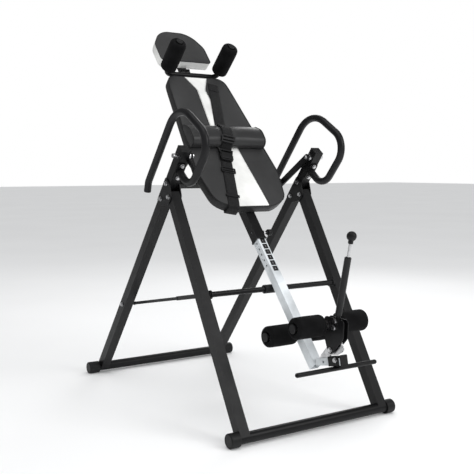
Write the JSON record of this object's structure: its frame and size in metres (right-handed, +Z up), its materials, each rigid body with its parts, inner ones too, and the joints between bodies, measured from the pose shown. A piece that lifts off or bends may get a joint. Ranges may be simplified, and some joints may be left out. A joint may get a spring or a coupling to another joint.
{
  "type": "inversion table",
  "caption": "Folding A-frame inversion table with a padded tilting bed, shoulder and head rests, lumbar roll, looped handles, ankle rollers and a ratchet lever.",
  "frame": {"origin": "on the floor, under the middle of the bounding box", "axes": "+Z up; +X across the table, to the right of someone facing its padded front; +Y from the foot end towards the head end"},
  "size_m": [0.748, 1.3497, 1.5008],
  "materials": {
    "black_steel": "satin black powder coat",
    "stay_steel": "satin black paint",
    "handle_steel": "semi-matt black coat over bent tube",
    "grip": "smooth matte black grip sleeve",
    "black_plastic": "fine-textured black moulding",
    "zinc": "bright zinc plate",
    "white_steel": "smooth silver-white paint",
    "board": "plywood covered in thin black cloth",
    "vinyl": "black vinyl-coated fabric over foam, with a pale centre stripe",
    "pillow_vinyl": "charcoal vinyl-coated fabric over foam",
    "foam": "dense matte black rubber foam",
    "pad_foam": "light matte black foam, with the density of soft padding",
    "webbing": "woven black polyester webbing",
    "rubber": "matte black rubber"
  },
  "bodies": {
    "stand": {"rear_foot_bar": "black_steel", "foot_cap_rears": "black_plastic", "rear_leg_left": "black_steel", "rear_leg_right": "black_steel", "end_caps": "black_plastic", "apex_plates": "black_steel", "frame_bolts": "zinc", "handle_left": "handle_steel", "handle_right": "handle_steel", "handle_flanges": "black_steel", "handle_brace": "black_steel"},
    "front_frame": {"front_foot_bar": "black_steel", "foot_cap_fronts": "black_plastic", "front_leg_left": "black_steel", "front_leg_right": "black_steel", "crossbar": "black_steel", "crossbar_sleeve": "rubber"},
    "rear_stays": {"rear_stays": "stay_steel"},
    "front_stays": {"front_stays": "stay_steel"},
    "bed": {"bed_tube": "black_steel", "cross_tube": "black_steel", "pivot_arms": "black_steel", "tube_collars": "black_plastic", "pin_housing": "black_plastic", "backboard": "board", "backrest_pad": "vinyl", "head_tube": "black_steel", "head_board": "board", "head_pillow": "vinyl", "shoulder_bar": "black_steel", "shoulder_clamp": "black_steel", "shoulder_pads": "pad_foam", "shoulder_plugs": "black_plastic", "lumbar_pillow": "pillow_vinyl", "lumbar_strap": "webbing", "strap_buckles": "black_plastic"},
    "height_pin": {"height_pin": "zinc", "height_knob": "black_plastic"},
    "leg_slide": {"slide_tube": "white_steel", "rear_axle": "zinc", "rear_axle_plugs": "black_plastic", "foot_stub": "white_steel", "stub_cap": "black_plastic", "rest_clamp": "black_steel", "clamp_bolts": "zinc", "foot_rest": "black_steel", "ratchet_plate": "zinc"},
    "ankle_lever": {"lever_cheeks": "black_steel", "lever_tube": "black_steel", "lever_grip": "grip", "lever_bolts": "zinc", "front_axle": "zinc", "front_axle_plugs": "black_plastic"},
    "lever_release": {"release_rod": "zinc", "ball_knob": "black_plastic"},
    "rear_roller_left": {"rear_roller_left": "foam"},
    "rear_roller_right": {"rear_roller_right": "foam"},
    "front_roller_left": {"front_roller_left": "foam"},
    "front_roller_right": {"front_roller_right": "foam"}
  },
  "joints": [
    {"name": "table_tilt", "type": "hinge", "parent": "stand", "child": "bed", "pos_m": [0, -0.08491, 0.94885], "axis": [-1, 0, 0], "range_deg": [0, 133]},
    {"name": "frame_fold", "type": "hinge", "parent": "stand", "child": "front_frame", "pos_m": [0, -0.02072, 0.79894], "axis": [-1, 0, 0], "range_deg": [-60, 0]},
    {"name": "rear_stay_turn", "type": "hinge", "parent": "stand", "child": "rear_stays", "pos_m": [0, 0.39847, 0.34051], "axis": [1, 0, 0], "range_deg": [-49.4, 0]},
    {"name": "front_stay_turn", "type": "hinge", "parent": "front_frame", "child": "front_stays", "pos_m": [0, -0.23532, 0.46262], "axis": [-1, 0, 0], "range_deg": [-32.6, 0]},
    {"name": "leg_adjust", "type": "slide", "parent": "bed", "child": "leg_slide", "axis": [0, -0.6455, -0.7638], "range_m": [-0.1, 0.1]},
    {"name": "height_pin_push", "type": "slide", "parent": "bed", "child": "height_pin", "axis": [1, 0, 0], "range_m": [-0.012, 0]},
    {"name": "ankle_lever", "type": "hinge", "parent": "leg_slide", "child": "ankle_lever", "pos_m": [0, -0.57018, 0.29713], "axis": [1, 0, 0], "range_deg": [0, 25]},
    {"name": "lever_release", "type": "slide", "parent": "ankle_lever", "child": "lever_release", "axis": [0, -0.2215, 0.9751], "range_m": [0, 0.008], "stiffness_N_per_m": 600, "springref_m": -0.004},
    {"name": "rear_roller_left_spin", "type": "hinge", "parent": "leg_slide", "child": "rear_roller_left", "pos_m": [0, -0.39585, 0.32526], "axis": [1, 0, 0], "continuous": true},
    {"name": "rear_roller_right_spin", "type": "hinge", "parent": "leg_slide", "child": "rear_roller_right", "pos_m": [0, -0.39585, 0.32526], "axis": [1, 0, 0], "continuous": true},
    {"name": "front_roller_left_spin", "type": "hinge", "parent": "ankle_lever", "child": "front_roller_left", "pos_m": [0, -0.55019, 0.38064], "axis": [1, 0, 0], "continuous": true},
    {"name": "front_roller_right_spin", "type": "hinge", "parent": "ankle_lever", "child": "front_roller_right", "pos_m": [0, -0.55019, 0.38064], "axis": [1, 0, 0], "continuous": true}
  ],
  "couplings": [
    {"joint": "rear_stay_turn", "follows": "frame_fold", "ratio": 0.82051},
    {"joint": "front_stay_turn", "follows": "frame_fold", "ratio": 0.54125}
  ]
}
